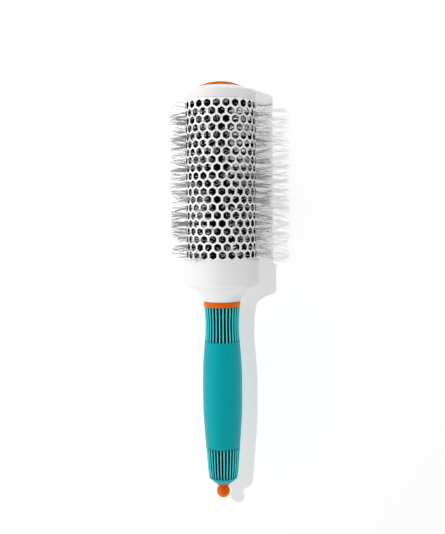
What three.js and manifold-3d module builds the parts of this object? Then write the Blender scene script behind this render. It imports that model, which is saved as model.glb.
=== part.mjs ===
// A round barrel brush for blow drying, with a pick that slides out of its handle.
// Millimetres, +Z up. The brush lies on its bristle tips with its axis level along Y and its head towards +Y.
// Stations are measured along the axis from the middle of the barrel, and grow towards the head.
import * as THREE from "three";
import { mergeVertices } from "three/addons/utils/BufferGeometryUtils.js";
import Module from "manifold-3d";

// Clearances
const fitGap = 0.3;
const slideGap = 0.12;

// Barrel: a tube with a honeycomb of vents, its rows staggered by half a pitch
const barrelRadius = 23;
const barrelWall = 1.2;
const ventRowCount = 16;
const ventColumnCount = 19;
const ventBandLength = 94.9;
const ventOpenShare = 0.713;
const plainBand = 3.85;

// Wire stem that runs from the tip to the handle
const wireRadius = 2.1;
const wireTipReach = 1.2;

// Bristles: packs of strands, each on a slice of the root bundle round the wire
const bristleReach = 11;
const restFlatDepth = 0.5;
const rootBundleRadius = 6.5;
const strandRootWidth = 0.9;
const strandTipWidth = 2;
const packCount = 4;

// Tip cap, the clip that holds the wire in it and the domed disc over both
const capSkirtWall = 0.35;
const capSideHeight = 6.5;
const capShoulderHeight = 2.7;
const capEdgeRadius = 0.8;
const capBossRadius = 5;
const barrelTipLap = 4.2;
const discRadius = 16;
const discEdgeHeight = 1.5;
const discCrownHeight = 4;
const discHollowRadius = 8;
const discHollowHeight = 2.6;
const clipRadius = 5.5;
const clipThickness = 0.8;

// Collar, the hub inside it and the flared neck below it
const collarWall = 1.8;
const collarLength = 18.2;
const collarCornerRadius = 2.6;
const collarLedgeWidth = 0.9;
const collarFloorThickness = 2;
const barrelBaseLap = 5.3;
const hubPlateThickness = 3;
const hubPlateDepth = 1.9;
const hubBossRadius = 6;
const neckLength = 9.35;
const neckStepWidth = 1.2;
const neckWall = 2;
const neckSeatLength = 2.6;
const accentLength = 3.4;
const accentRadius = 12.3;
const accentEdgeRadius = 0.7;

// Handle core: a spigot that carries the ring, neck and collar, and a hollow tube below it
const spigotRadius = 8;
const spigotBoreRadius = 3.7;
const spigotWebThickness = 4;
const coreTopRadius = 9;
const coreBellyRadius = 11.2;
const coreFootRadius = 7.9;
const coreBellyDepth = 51.7;
const coreWall = 1.4;

// Ferrule crimped on the end of the wire, hooked under the web of the spigot
const ferruleWall = 0.9;
const ferruleSleeveLength = 14;
const ferruleFlangeRadius = 5;
const ferruleFlangeThickness = 1.2;

// Soft grip with two sets of lengthwise grooves
const gripLength = 118.9;
const gripRadius = 13.2;
const gripEndWall = 3.6;
const grooveCount = 30;
const grooveDepth = 0.8;

// Guide bush in the foot of the handle, with a friction ring in a groove
const bushNoseRadius = 5.4;
const bushInnerLength = 9;
const frictionRingRadius = 0.6;
const frictionRingDepth = 5;

// Pick: a flat-sided shaft, a stop at its inner end and a ball knob
const pickShaftRadius = 1.4;
const pickFlatDepth = 0.35;
const pickTravel = 60;
const pickStopRadius = 3.4;
const pickStopLength = 5;
const knobSocketDepth = 5.6;
const knobFlangeRadius = 4.3;
const knobFlangeThickness = 1.5;
const knobWaistRadius = 3.1;
const knobWaistLength = 1.12;
const knobBallRadius = 4.5;

// How finely round pieces are divided
const largeSideCount = 32;
const mediumSideCount = 20;
const smallSideCount = 12;
const arcStepCount = 2;
const ballStepCount = 7;

// Grip outline: share of its length, share of its radius and share of the groove's depth
const gripOutlineShares = [
  [0, 0.898, 1],
  [0.091, 0.852, 1],
  [0.184, 0.885, 1],
  [0.195, 0.89, 0],
  [0.31, 0.968, 0],
  [0.444, 1, 0],
  [0.646, 0.962, 0],
  [0.792, 0.866, 0],
  [0.803, 0.861, 1],
  [0.956, 0.754, 1],
  [0.966, 0.731, 0],
  [0.974, 0.7, 0],
  [0.99, 0.5, 0],
];

// Neck outline: share of its length from the top and share of its flare
const neckOutlineShares = [
  [0, 1],
  [0.22, 0.71],
  [0.45, 0.4],
  [0.7, 0.17],
  [1, 0],
];

// Sizes that follow the barrel
const bristleTipRadius = barrelRadius + bristleReach;
const sleeveRadius = barrelRadius + fitGap;
const capRadius = sleeveRadius + capSkirtWall;
const collarRadius = sleeveRadius + collarWall;
const neckTopRadius = collarRadius - collarCornerRadius - neckStepWidth;

// Stations along the axis
const capLip = ventBandLength / 2 + plainBand;
const capShoulder = capLip + capSideHeight;
const capRim = capShoulder + capShoulderHeight;
const discSeat = capRim - discEdgeHeight - fitGap;
const discBottom = discSeat + fitGap;
const discTop = discBottom + discEdgeHeight + discCrownHeight;
const barrelTop = capLip + barrelTipLap;
const collarTop = -capLip;
const barrelBottom = collarTop - barrelBaseLap;
const collarBottom = collarTop - collarLength;
const collarFloor = collarBottom + collarFloorThickness;
const neckTop = collarBottom - fitGap;
const neckBottom = neckTop - neckLength;
const accentTop = neckBottom - fitGap;
const accentBottom = accentTop - accentLength;
const gripTop = accentBottom - fitGap;
const gripBottom = gripTop - gripLength;
const webBottom = gripTop - spigotWebThickness;
const coreBelly = gripTop - coreBellyDepth;
const coreBottom = gripBottom + gripEndWall + fitGap;
const bushTop = coreBottom + bushInnerLength;
const knobTop = gripBottom - fitGap;
const knobFlangeBottom = knobTop - knobFlangeThickness;
const knobWaist = knobFlangeBottom - knobWaistLength;
const ballRise = Math.sqrt(knobBallRadius ** 2 - knobWaistRadius ** 2);
const ballCentre = knobWaist - ballRise;
const knobBottom = ballCentre - knobBallRadius;
const pickStopBottom = bushTop + pickTravel + fitGap;
const pickShaftTop = pickStopBottom + pickStopLength;
const pickShaftBottom = knobTop - knobSocketDepth + fitGap;
const wireTop = discSeat + fitGap + clipThickness;
const wireBottom = webBottom - fitGap;
const axisHeight = bristleTipRadius - restFlatDepth;
const middleStation = (discTop + knobBottom) / 2;

const fullTurn = 2 * Math.PI;
const rowPitch = ventBandLength / (ventRowCount - 1);
const columnTurn = fullTurn / ventColumnCount;

const whitePlastic = { color: 0xf0f0ec, roughness: 0.35, metalness: 0 };
const whiteCeramic = { color: 0xf2f2ef, roughness: 0.45, metalness: 0 };
const orangePlastic = { color: 0xf0761e, roughness: 0.3, metalness: 0 };
const tealRubber = { color: 0x2ea2a8, roughness: 0.55, metalness: 0 };
const blackPlastic = { color: 0x202224, roughness: 0.7, metalness: 0 };
const blackRubber = { color: 0x18191a, roughness: 0.9, metalness: 0 };
const greyNylon = { color: 0x7d8086, roughness: 0.6, metalness: 0 };
const wireSteel = { color: 0xb8babd, roughness: 0.35, metalness: 1 };
const ferruleBrass = { color: 0xc9a455, roughness: 0.35, metalness: 1 };
const shaftAluminium = { color: 0xc8cacc, roughness: 0.3, metalness: 1 };

const wasm = await Module();
wasm.setup();

// A closed geometry as a solid that can be joined and cut.
function solidOf(geometry) {
  const plain = geometry.clone();
  plain.deleteAttribute("normal");
  plain.deleteAttribute("uv");
  const merged = mergeVertices(plain);
  return new wasm.Manifold(
    new wasm.Mesh({
      numProp: 3,
      vertProperties: merged.attributes.position.array,
      triVerts: new Uint32Array(merged.index.array),
    }),
  );
}

// A joined or cut solid as a geometry again.
function geometryOf(solid) {
  const mesh = solid.getMesh();
  return meshGeometry(Array.from(mesh.vertProperties), Array.from(mesh.triVerts));
}

// Collects points and faces. A face's points run clockwise as seen from outside when the angle
// from straight down grows to the right; a skin face's run the other way.
function meshBuilder() {
  const positions = [];
  const triangles = [];
  const face = (...loop) => {
    for (let i = 2; i < loop.length; i += 1) triangles.push(loop[0], loop[i - 1], loop[i]);
  };
  return {
    put: (point) => positions.push(...point.toArray()) / 3 - 1,
    face,
    skinFace: (...loop) => face(...loop.reverse()),
    geometry: () => meshGeometry(positions, triangles),
  };
}

function meshGeometry(positions, triangles) {
  const geometry = new THREE.BufferGeometry();
  geometry.setAttribute("position", new THREE.Float32BufferAttribute(positions, 3));
  geometry.setIndex(triangles);
  geometry.computeVertexNormals();
  return geometry;
}

// A named piece whose own origin lies on the axis at a station.
function piece(name, finish, geometry, station) {
  const mesh = new THREE.Mesh(geometry, new THREE.MeshStandardMaterial(finish));
  mesh.name = name;
  mesh.position.y = station;
  return mesh;
}

// A turned solid from an outline of [radius, station] points, drawn round its own origin station.
function turned(outline, sideCount, origin) {
  const points = outline.map(([radius, station]) => new THREE.Vector2(radius, station - origin));
  return new THREE.LatheGeometry(points, sideCount);
}

// A closed outline ends where it starts.
function closed(outline) {
  return [...outline, outline[0]];
}

function ringOutline(innerRadius, outerRadius, bottom, top) {
  return closed([
    [innerRadius, bottom],
    [outerRadius, bottom],
    [outerRadius, top],
    [innerRadius, top],
  ]);
}

// Points on a circular arc between two angles in degrees, where 90 degrees points to the head.
function arc(centreRadius, centreStation, radius, fromDegrees, toDegrees, stepCount) {
  return Array.from({ length: stepCount + 1 }, (_, step) => {
    const degrees = fromDegrees + ((toDegrees - fromDegrees) * step) / stepCount;
    const angle = THREE.MathUtils.degToRad(degrees);
    return [centreRadius + radius * Math.cos(angle), centreStation + radius * Math.sin(angle)];
  });
}

// A direction square to the axis, turned by an angle from straight down.
function outward(angle) {
  return new THREE.Vector3(Math.sin(angle), 0, -Math.cos(angle));
}

function wrapColumn(column) {
  return (column + ventColumnCount) % ventColumnCount;
}

// Every second row is turned by half a column.
function ventAngle(row, column) {
  return (column + (row % 2) / 2) * columnTurn;
}

function rowStation(row) {
  return ventBandLength / 2 - row * rowPitch;
}

// The barrel: outer and inner skins between the six-sided vents, the vents' walls and two plain ends.
function barrelGeometry() {
  const halfTurn = (columnTurn * ventOpenShare) / 2;
  const halfHeight = (rowPitch * ventOpenShare * 2) / 3;
  const cornerPlaces = [
    [0, halfHeight],
    [halfTurn, halfHeight / 2],
    [halfTurn, -halfHeight / 2],
    [0, -halfHeight],
    [-halfTurn, -halfHeight / 2],
    [-halfTurn, halfHeight / 2],
  ];
  const [top, upperRight, lowerRight, bottom, lowerLeft, upperLeft] = cornerPlaces.keys();
  const lastRow = ventRowCount - 1;
  const { put: putPoint, face, skinFace: outerFace, geometry } = meshBuilder();
  const put = (angle, radius, station) =>
    putPoint(outward(angle).multiplyScalar(radius).setY(station));

  const skins = [barrelRadius, barrelRadius - barrelWall].map((radius) => {
    const corners = [];
    for (let row = 0; row < ventRowCount; row += 1) {
      for (let column = 0; column < ventColumnCount; column += 1) {
        const angle = ventAngle(row, column);
        corners.push(
          cornerPlaces.map(([turn, rise]) => put(angle + turn, radius, rowStation(row) + rise)),
        );
      }
    }
    const rim = (row, station) =>
      Array.from({ length: 2 * ventColumnCount }, (_, step) =>
        put(ventAngle(row, step / 2), radius, station),
      );
    return {
      corner: (row, column, index) => corners[row * ventColumnCount + wrapColumn(column)][index],
      topRim: rim(0, barrelTop),
      bottomRim: rim(lastRow, barrelBottom),
    };
  });

  const rimAt = (rim, step) => rim[(step + rim.length) % rim.length];
  skins.forEach(({ corner, topRim, bottomRim }, skinIndex) => {
    const skinFace = skinIndex === 0 ? outerFace : face;
    for (let column = 0; column < ventColumnCount; column += 1) {
      const next = column + 1;
      for (let row = 0; row < ventRowCount; row += 1) {
        skinFace(
          corner(row, column, lowerRight),
          corner(row, next, lowerLeft),
          corner(row, next, upperLeft),
          corner(row, column, upperRight),
        );
        if (row === lastRow) continue;
        const right = column + (row % 2);
        const left = right - 1;
        const below = row + 1;
        skinFace(
          corner(row, column, bottom),
          corner(below, right, upperLeft),
          corner(below, right, top),
          corner(row, column, lowerRight),
        );
        skinFace(
          corner(row, column, lowerLeft),
          corner(below, left, top),
          corner(below, left, upperRight),
          corner(row, column, bottom),
        );
        skinFace(
          corner(row, column, bottom),
          corner(below, left, upperRight),
          corner(below, right, upperLeft),
        );
        skinFace(
          corner(row, column, lowerRight),
          corner(below, right, top),
          corner(row, next, lowerLeft),
        );
      }
      const over = rimAt(topRim, 2 * column);
      const overWeb = rimAt(topRim, 2 * column + 1);
      const overNext = rimAt(topRim, 2 * column + 2);
      skinFace(corner(0, column, top), corner(0, column, upperRight), overWeb, over);
      skinFace(corner(0, column, upperRight), corner(0, next, upperLeft), overWeb);
      skinFace(corner(0, next, upperLeft), corner(0, next, top), overNext, overWeb);
      const under = rimAt(bottomRim, 2 * column);
      const underWeb = rimAt(bottomRim, 2 * column + 1);
      const underNext = rimAt(bottomRim, 2 * column + 2);
      skinFace(corner(lastRow, column, bottom), under, underWeb, corner(lastRow, column, lowerRight));
      skinFace(corner(lastRow, column, lowerRight), underWeb, corner(lastRow, next, lowerLeft));
      skinFace(underWeb, underNext, corner(lastRow, next, bottom), corner(lastRow, next, lowerLeft));
    }
  });

  const [outer, inner] = skins;
  for (let step = 0; step < 2 * ventColumnCount; step += 1) {
    face(
      rimAt(outer.topRim, step),
      rimAt(inner.topRim, step),
      rimAt(inner.topRim, step + 1),
      rimAt(outer.topRim, step + 1),
    );
    face(
      rimAt(outer.bottomRim, step),
      rimAt(outer.bottomRim, step + 1),
      rimAt(inner.bottomRim, step + 1),
      rimAt(inner.bottomRim, step),
    );
  }
  for (let row = 0; row < ventRowCount; row += 1) {
    for (let column = 0; column < ventColumnCount; column += 1) {
      for (let index = 0; index < cornerPlaces.length; index += 1) {
        const after = (index + 1) % cornerPlaces.length;
        face(
          outer.corner(row, column, index),
          outer.corner(row, column, after),
          inner.corner(row, column, after),
          inner.corner(row, column, index),
        );
      }
    }
  }
  return geometry();
}

// The corners of a strand's section at a radius: towards the head, then right and left.
// A corner that would lie below the floor is drawn back along the strand to the floor.
function strandSection(angle, station, radius, width) {
  const away = outward(angle);
  const along = new THREE.Vector3(0, 1, 0);
  const across = new THREE.Vector3().crossVectors(away, along);
  const reach = width / Math.sqrt(3);
  return [0, 1, 2].map((corner) => {
    const turn = (corner * fullTurn) / 3;
    const point = away
      .clone()
      .multiplyScalar(radius)
      .addScaledVector(along, station + reach * Math.cos(turn))
      .addScaledVector(across, reach * Math.sin(turn));
    const below = -axisHeight - point.z;
    return below > 0 ? point.addScaledVector(away, below / away.z) : point;
  });
}

// A slice of the root bundle whose skin opens into the three-sided strands of its rows.
function bristlePackGeometry(pack) {
  const packRows = ventRowCount / packCount;
  const firstRow = Math.round(pack * packRows);
  const lastRow = Math.round((pack + 1) * packRows) - 1;
  const origin = (rowStation(firstRow) + rowStation(lastRow)) / 2;
  const { put, face, skinFace, geometry } = meshBuilder();

  const roots = [];
  for (let row = firstRow; row <= lastRow; row += 1) {
    for (let column = 0; column < ventColumnCount; column += 1) {
      const angle = ventAngle(row, column);
      const station = rowStation(row) - origin;
      const root = strandSection(angle, station, rootBundleRadius, strandRootWidth).map(put);
      const tip = strandSection(angle, station, bristleTipRadius, strandTipWidth).map(put);
      for (const from of [0, 1, 2]) {
        const to = (from + 1) % 3;
        face(root[from], root[to], tip[to], tip[from]);
      }
      face(...tip);
      roots.push(root);
    }
  }
  const root = (row, column) => {
    const [head, right, left] = roots[(row - firstRow) * ventColumnCount + wrapColumn(column)];
    return { head, right, left };
  };

  const reach = (rowPitch - fitGap) / 2;
  const rim = (row, radius, station) => {
    const points = Array.from({ length: ventColumnCount }, (_, column) =>
      put(outward(ventAngle(row, column)).multiplyScalar(radius).setY(station - origin)),
    );
    return (column) => points[wrapColumn(column)];
  };
  const boreRadius = wireRadius + fitGap;
  const topRim = rim(firstRow, rootBundleRadius, rowStation(firstRow) + reach);
  const topBore = rim(firstRow, boreRadius, rowStation(firstRow) + reach);
  const bottomRim = rim(lastRow, rootBundleRadius, rowStation(lastRow) - reach);
  const bottomBore = rim(lastRow, boreRadius, rowStation(lastRow) - reach);

  for (let column = 0; column < ventColumnCount; column += 1) {
    const next = column + 1;
    const [first, firstNext] = [root(firstRow, column), root(firstRow, next)];
    const [last, lastNext] = [root(lastRow, column), root(lastRow, next)];
    skinFace(first.head, first.right, firstNext.left, firstNext.head, topRim(next), topRim(column));
    for (let row = firstRow; row < lastRow; row += 1) {
      const here = root(row, column);
      const beside = root(row, next);
      const belowRight = root(row + 1, column + (row % 2));
      const belowLeft = root(row + 1, column + (row % 2) - 1);
      skinFace(here.right, belowRight.head, beside.left);
      skinFace(belowLeft.head, belowLeft.right, here.left);
      skinFace(belowLeft.right, belowRight.left, here.right, here.left);
      skinFace(belowRight.left, belowRight.head, here.right);
    }
    skinFace(last.left, bottomRim(column), last.right);
    skinFace(last.right, bottomRim(column), bottomRim(next), lastNext.left);
    face(topRim(column), topBore(column), topBore(next), topRim(next));
    face(bottomRim(column), bottomRim(next), bottomBore(next), bottomBore(column));
    face(bottomBore(column), bottomBore(next), topBore(next), topBore(column));
  }
  return { geometry: geometry(), origin };
}

function bundleEnd() {
  return ventBandLength / 2 + rowPitch / 2;
}

function tipCapGeometry() {
  const seatRadius = discRadius + fitGap;
  const plateBottom = barrelTop + fitGap;
  const bore = wireRadius + fitGap;
  const shoulderSlope = Math.atan2(capShoulderHeight, capRadius - seatRadius);
  const edge = arc(
    capRadius - capEdgeRadius,
    capShoulder - capEdgeRadius,
    capEdgeRadius,
    0,
    90 - THREE.MathUtils.radToDeg(shoulderSlope),
    arcStepCount,
  );
  const outline = closed([
    [bore, bundleEnd()],
    [capBossRadius, bundleEnd()],
    [capBossRadius, plateBottom],
    [sleeveRadius, plateBottom],
    [sleeveRadius, capLip],
    [capRadius, capLip],
    ...edge,
    [seatRadius, capRim],
    [seatRadius, discSeat],
    [bore, discSeat],
  ]);
  return turned(outline, largeSideCount, capLip);
}

function tipDiscGeometry() {
  const rim = discBottom + discEdgeHeight;
  const sphereRadius = (discRadius ** 2 + discCrownHeight ** 2) / (2 * discCrownHeight);
  const centre = discTop - sphereRadius;
  const rimDegrees = THREE.MathUtils.radToDeg(Math.asin((rim - centre) / sphereRadius));
  const crown = arc(0, centre, sphereRadius, rimDegrees, 90, arcStepCount + 1);
  const outline = [
    [0, discBottom + discHollowHeight],
    [discHollowRadius, discBottom + discHollowHeight],
    [discHollowRadius, discBottom],
    [discRadius, discBottom],
    ...crown.slice(0, -1),
    [0, discTop],
  ];
  return turned(outline, mediumSideCount, discSeat);
}

function hubGeometry() {
  const plateTop = collarTop - hubPlateDepth;
  const plateBottom = plateTop - hubPlateThickness;
  const plateRadius = barrelRadius - barrelWall - fitGap;
  const bore = wireRadius + fitGap;
  const outline = closed([
    [bore, collarFloor + fitGap],
    [hubBossRadius, collarFloor + fitGap],
    [hubBossRadius, plateBottom],
    [plateRadius, plateBottom],
    [plateRadius, plateTop],
    [hubBossRadius, plateTop],
    [hubBossRadius, -bundleEnd()],
    [bore, -bundleEnd()],
  ]);
  return turned(outline, mediumSideCount, plateTop);
}

// The collar. Its underside has a line where the neck's rim ends, so the free ledge outside it is a face.
function collarGeometry() {
  const ledge = barrelBottom - fitGap;
  const cavityRadius = sleeveRadius - collarLedgeWidth - fitGap;
  const corner = arc(
    collarRadius - collarCornerRadius,
    collarBottom + collarCornerRadius,
    collarCornerRadius,
    -90,
    0,
    arcStepCount,
  );
  const outline = closed([
    [spigotRadius + fitGap, collarBottom],
    [neckTopRadius + fitGap, collarBottom],
    ...corner,
    [collarRadius, collarTop],
    [sleeveRadius, collarTop],
    [sleeveRadius, ledge],
    [cavityRadius, ledge],
    [cavityRadius, collarFloor],
    [spigotRadius + fitGap, collarFloor],
  ]);
  return turned(outline, largeSideCount, collarTop);
}

function neckGeometry() {
  const flare = neckTopRadius - accentRadius;
  const outer = neckOutlineShares.map(([lengthShare, flareShare]) => [
    accentRadius + flare * flareShare,
    neckTop - neckLength * lengthShare,
  ]);
  const seat = spigotRadius + fitGap;
  const outline = closed([
    [seat, neckBottom],
    ...outer.reverse(),
    [neckTopRadius - neckWall, neckTop],
    [seat, neckBottom + neckSeatLength],
  ]);
  return turned(outline, largeSideCount, neckTop);
}

function accentRingGeometry() {
  const edgeCentre = accentRadius - accentEdgeRadius;
  const outline = closed([
    [spigotRadius + fitGap, accentBottom],
    ...arc(edgeCentre, accentBottom + accentEdgeRadius, accentEdgeRadius, -90, 0, 1),
    ...arc(edgeCentre, accentTop - accentEdgeRadius, accentEdgeRadius, 0, 90, 1),
    [spigotRadius + fitGap, accentTop],
  ]);
  return turned(outline, largeSideCount, accentTop);
}

function handleCoreGeometry() {
  const outline = closed([
    [coreFootRadius - coreWall, coreBottom],
    [coreFootRadius, coreBottom],
    [coreBellyRadius, coreBelly],
    [coreTopRadius, gripTop],
    [spigotRadius, gripTop],
    [spigotRadius, collarFloor],
    [spigotBoreRadius, collarFloor],
    [spigotBoreRadius, webBottom],
    [coreTopRadius - coreWall, webBottom],
    [coreBellyRadius - coreWall, coreBelly],
  ]);
  return turned(outline, mediumSideCount, gripTop);
}

function ferruleGeometry() {
  const bore = wireRadius + slideGap;
  const sleeve = bore + ferruleWall;
  const flangeTop = webBottom - fitGap;
  const flangeBottom = flangeTop - ferruleFlangeThickness;
  const outline = closed([
    [bore, flangeBottom],
    [ferruleFlangeRadius, flangeBottom],
    [ferruleFlangeRadius, flangeTop],
    [sleeve, flangeTop],
    [sleeve, flangeTop + ferruleSleeveLength],
    [bore, flangeTop + ferruleSleeveLength],
  ]);
  return turned(outline, smallSideCount, flangeTop);
}

// The grip: a ring of points for each line of its outline, then the bore round the handle core.
function gripGeometry() {
  const around = 2 * grooveCount;
  const outside = gripOutlineShares.map(([lengthShare, radiusShare, grooveShare]) => ({
    station: -gripLength * lengthShare,
    crest: gripRadius * radiusShare,
    valley: gripRadius * radiusShare - grooveDepth * grooveShare,
  }));
  const bore = [
    [bushNoseRadius + fitGap, gripBottom],
    [bushNoseRadius + fitGap, gripBottom + gripEndWall],
    [coreFootRadius + fitGap, gripBottom + gripEndWall],
    [coreBellyRadius + fitGap, coreBelly],
    [coreTopRadius + fitGap, gripTop],
  ].map(([radius, station]) => ({ station: station - gripTop, crest: radius, valley: radius }));
  const rings = [...outside, ...bore];
  const positions = rings.flatMap(({ station, crest, valley }) =>
    Array.from({ length: around }, (_, step) =>
      outward((fullTurn * (step + 0.5)) / around)
        .multiplyScalar(step % 2 ? crest : valley)
        .setY(station)
        .toArray(),
    ).flat(),
  );
  const triangles = rings.flatMap((_, ring) => {
    const nextRing = (ring + 1) % rings.length;
    return Array.from({ length: around }, (_, step) => {
      const nextStep = (step + 1) % around;
      const here = ring * around + step;
      const beside = ring * around + nextStep;
      const below = nextRing * around + step;
      const diagonal = nextRing * around + nextStep;
      return [here, beside, diagonal, here, diagonal, below];
    }).flat();
  });
  return meshGeometry(positions, triangles);
}

// The shaft's section: a circle with one side cut flat, drawn larger by a gap all round for its hole.
function shaftSection(gap) {
  const radius = pickShaftRadius + gap;
  const flatReach = pickShaftRadius - pickFlatDepth + gap;
  const flatAngle = Math.acos(flatReach / radius);
  const sectionSideCount = mediumSideCount / 2;
  const points = Array.from({ length: sectionSideCount }, (_, step) => {
    const angle = flatAngle + ((fullTurn - 2 * flatAngle) * step) / (sectionSideCount - 1);
    return new THREE.Vector2(radius * Math.cos(angle), radius * Math.sin(angle));
  });
  return new THREE.Shape(points);
}

// The section carried along the axis between two stations.
function shaftGeometry(gap, bottom, top, origin) {
  const extrusion = { depth: top - bottom, bevelEnabled: false, steps: 1 };
  return new THREE.ExtrudeGeometry(shaftSection(gap), extrusion)
    .rotateX(Math.PI / 2)
    .translate(0, top - origin, 0);
}

function frictionRingStation() {
  return bushTop - frictionRingDepth;
}

function guideBushGeometry() {
  const innerRadius = coreFootRadius - coreWall - fitGap;
  const outline = [
    [0, gripBottom],
    [bushNoseRadius, gripBottom],
    [bushNoseRadius, coreBottom],
    [innerRadius, coreBottom],
    [innerRadius, bushTop],
    [0, bushTop],
  ];
  const body = solidOf(turned(outline, smallSideCount, gripBottom));
  const overrun = 2 * fitGap;
  const hole = shaftGeometry(slideGap, gripBottom - overrun, bushTop + overrun, gripBottom);
  const grooveRadius = pickShaftRadius + slideGap + 2 * frictionRingRadius + fitGap;
  const grooveHalf = frictionRingRadius + fitGap;
  const groove = turned(
    [
      [0, frictionRingStation() - grooveHalf],
      [grooveRadius, frictionRingStation() - grooveHalf],
      [grooveRadius, frictionRingStation() + grooveHalf],
      [0, frictionRingStation() + grooveHalf],
    ],
    smallSideCount,
    gripBottom,
  );
  return geometryOf(body.subtract(solidOf(hole)).subtract(solidOf(groove)));
}

function frictionRingGeometry() {
  const centreRadius = pickShaftRadius + slideGap + frictionRingRadius;
  const circle = arc(centreRadius, frictionRingStation(), frictionRingRadius, 0, 360, arcStepCount * 2);
  return turned(closed(circle.slice(0, -1)), smallSideCount, frictionRingStation());
}

function knobGeometry() {
  const socket = pickShaftRadius + slideGap;
  const socketBottom = knobTop - knobSocketDepth;
  const waistDegrees = THREE.MathUtils.radToDeg(Math.asin(ballRise / knobBallRadius));
  const ball = arc(0, ballCentre, knobBallRadius, -90, waistDegrees, ballStepCount);
  const outline = [
    [0, knobBottom],
    ...ball.slice(1),
    [knobWaistRadius, knobFlangeBottom],
    [knobFlangeRadius, knobFlangeBottom],
    [knobFlangeRadius, knobTop],
    [socket, knobTop],
    [socket, socketBottom],
    [0, socketBottom],
  ];
  return turned(outline, mediumSideCount, knobTop);
}

// The head: barrel, wire, bristles and tip
const head = new THREE.Group();
head.add(
  piece("tip_disc", orangePlastic, tipDiscGeometry(), discSeat),
  piece("tip_cap", whitePlastic, tipCapGeometry(), capLip),
  piece(
    "wire_clip",
    wireSteel,
    turned(
      ringOutline(wireRadius + slideGap, clipRadius, discBottom, discBottom + clipThickness),
      smallSideCount,
      discSeat,
    ),
    discSeat,
  ),
  piece("barrel_tube", whiteCeramic, barrelGeometry(), 0),
);
const wireLength = wireTop + wireTipReach - wireBottom;
head.add(
  piece(
    "core_wire",
    wireSteel,
    new THREE.CylinderGeometry(wireRadius, wireRadius, wireLength, smallSideCount),
    wireBottom + wireLength / 2,
  ),
);
for (let pack = 0; pack < packCount; pack += 1) {
  const { geometry, origin } = bristlePackGeometry(pack);
  head.add(piece(`bristle_pack_${pack + 1}`, greyNylon, geometry, origin));
}

// The fittings between the barrel and the handle
const fittings = new THREE.Group();
fittings.add(
  piece("barrel_hub", blackPlastic, hubGeometry(), collarTop - hubPlateDepth),
  piece("collar", whitePlastic, collarGeometry(), collarTop),
  piece("neck", whitePlastic, neckGeometry(), neckTop),
  piece("accent_ring", orangePlastic, accentRingGeometry(), accentTop),
);

// The handle
const handle = new THREE.Group();
handle.add(
  piece("handle_core", blackPlastic, handleCoreGeometry(), gripTop),
  piece("wire_ferrule", ferruleBrass, ferruleGeometry(), webBottom - fitGap),
  piece("grip", tealRubber, gripGeometry(), gripTop),
  piece("guide_bush", blackPlastic, guideBushGeometry(), gripBottom),
  piece("friction_ring", blackRubber, frictionRingGeometry(), frictionRingStation()),
);

// The pick, pushed home in the handle
const pick = new THREE.Group();
pick.add(
  piece(
    "pick_shaft",
    shaftAluminium,
    shaftGeometry(0, pickShaftBottom, pickShaftTop, pickShaftBottom),
    pickShaftBottom,
  ),
  piece("pick_knob", orangePlastic, knobGeometry(), knobTop),
  piece(
    "pick_stop",
    blackPlastic,
    turned(
      ringOutline(pickShaftRadius + slideGap, pickStopRadius, pickStopBottom, pickShaftTop),
      smallSideCount,
      pickStopBottom,
    ),
    pickStopBottom,
  ),
);

// The whole brush, its box centred over the origin and its rest flat at the floor
const brush = new THREE.Group();
brush.add(head, fittings, handle, pick);
brush.position.set(0, -middleStation, axisHeight);

export default brush;
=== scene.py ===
"""Looks of a round barrel brush with a pick that slides out of its handle.

The classes hold their sizes in millimetres. A station is a distance along the brush's axis from the
middle of the barrel, and grows towards the head. An angle is turned round the axis from straight up
towards +X, in degrees in the fields and in radians in the sums. Meshes are made in metres, in the
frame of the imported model.
"""

import logging
import math
from abc import ABC, abstractmethod
from collections.abc import Sequence
from dataclasses import dataclass, field
from enum import Enum

import bmesh
import bpy
import numpy as np
from mathutils import Matrix, Vector


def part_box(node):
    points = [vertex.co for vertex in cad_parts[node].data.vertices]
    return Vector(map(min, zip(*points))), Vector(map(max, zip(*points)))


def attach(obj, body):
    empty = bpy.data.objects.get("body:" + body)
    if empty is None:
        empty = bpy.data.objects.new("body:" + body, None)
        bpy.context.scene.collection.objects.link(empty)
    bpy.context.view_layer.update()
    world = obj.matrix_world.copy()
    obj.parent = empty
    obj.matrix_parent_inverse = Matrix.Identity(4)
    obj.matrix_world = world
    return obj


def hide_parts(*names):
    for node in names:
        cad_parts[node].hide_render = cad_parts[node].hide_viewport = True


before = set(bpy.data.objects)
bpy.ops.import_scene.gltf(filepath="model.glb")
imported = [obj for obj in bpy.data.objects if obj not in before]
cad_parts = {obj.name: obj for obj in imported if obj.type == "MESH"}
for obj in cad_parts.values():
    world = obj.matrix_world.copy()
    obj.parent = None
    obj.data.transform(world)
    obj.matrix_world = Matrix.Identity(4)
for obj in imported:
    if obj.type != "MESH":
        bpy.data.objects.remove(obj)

log = logging.getLogger("brush")

Colour = tuple[float, float, float]
Pair = tuple[float, float]
Outline = list[Pair]
Socket = bpy.types.NodeSocket

MM = 0.001
TINY = 1e-6
WELD_REACH = 1e-7
FULL_TURN = 2 * math.pi
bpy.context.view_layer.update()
COLLAR_TOP = -51.3
AXIS_HEIGHT = (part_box("collar")[0].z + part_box("collar")[1].z) / 2 / MM
STATION_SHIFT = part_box("collar")[1].y / MM - COLLAR_TOP
# Attributes for the grip: painted shade down in its grooves and a painted highlight on its ribs.
GROOVE_SHADE_SHARE = "groove_share"
RIB_HIGHLIGHT_SHARE = "rib_highlight_share"
# Attribute for the painted shade of the filaments inside the barrel.
ROOT_SHADE_MASK = "root_shade_mask"


class Body(str, Enum):
    """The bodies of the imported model."""

    BRUSH = "brush"
    PICK = "pick"


class Slot(str, Enum):
    """The material slots of the pieces that are made here."""

    ORANGE = "orange_plastic"
    WHITE = "white_plastic"
    WIRE = "wire_steel"
    BARREL = "coated_barrel"
    NYLON = "bristle_nylon"
    BLACK = "black_plastic"
    TEAL = "teal_rubber"
    SHAFT = "shaft_aluminium"


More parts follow.
